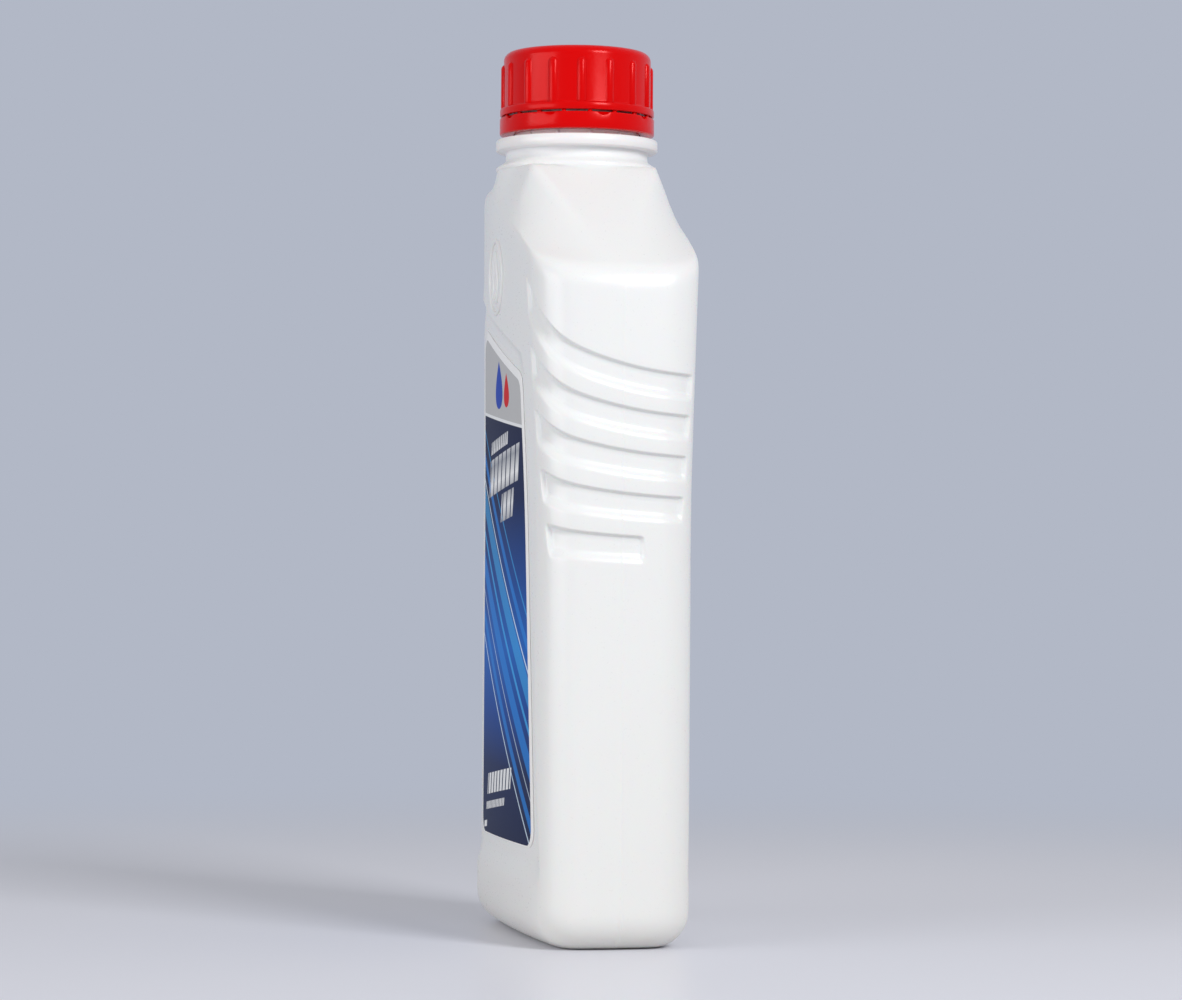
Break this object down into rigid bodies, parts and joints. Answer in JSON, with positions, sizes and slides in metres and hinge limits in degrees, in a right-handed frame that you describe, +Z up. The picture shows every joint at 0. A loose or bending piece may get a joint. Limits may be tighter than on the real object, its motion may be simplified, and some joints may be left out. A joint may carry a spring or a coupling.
{
  "type": "motor oil bottle",
  "caption": "Slim white plastic oil bottle with an off-centre neck, slanted shoulder, finger recesses, a front label and a ribbed red screw cap that turns off.",
  "frame": {"origin": "on the floor under the middle of the bottle's width and depth", "axes": "+Z up, the label faces -Y, the finger recesses are on the narrow +X side"},
  "size_m": [0.106, 0.0498, 0.2559],
  "materials": {
    "white_plastic": "gloss blow-moulded polyethylene",
    "label_film": "gloss printed film",
    "red_plastic": "gloss injection-moulded polypropylene",
    "liner_foam": "matt foamed wad"
  },
  "bodies": {
    "bottle_body": {"bottle": "white_plastic", "front_label": "label_film", "tamper_band": "red_plastic"},
    "liner_body": {"cap_liner": "liner_foam"},
    "cap_body": {"screw_cap": "red_plastic"}
  },
  "joints": [
    {"name": "cap_lift", "type": "slide", "parent": "bottle_body", "child": "liner_body", "axis": [0, 0, 1], "range_m": [0, 0.036]},
    {"name": "cap_turn", "type": "hinge", "parent": "liner_body", "child": "cap_body", "pos_m": [-0.01, 0, 0.2543], "axis": [0, 0, 1], "range_deg": [0, 3240]}
  ],
  "couplings": [
    {"joint": "cap_lift", "follows": "cap_turn", "m_per_rad": 0.00063662}
  ]
}
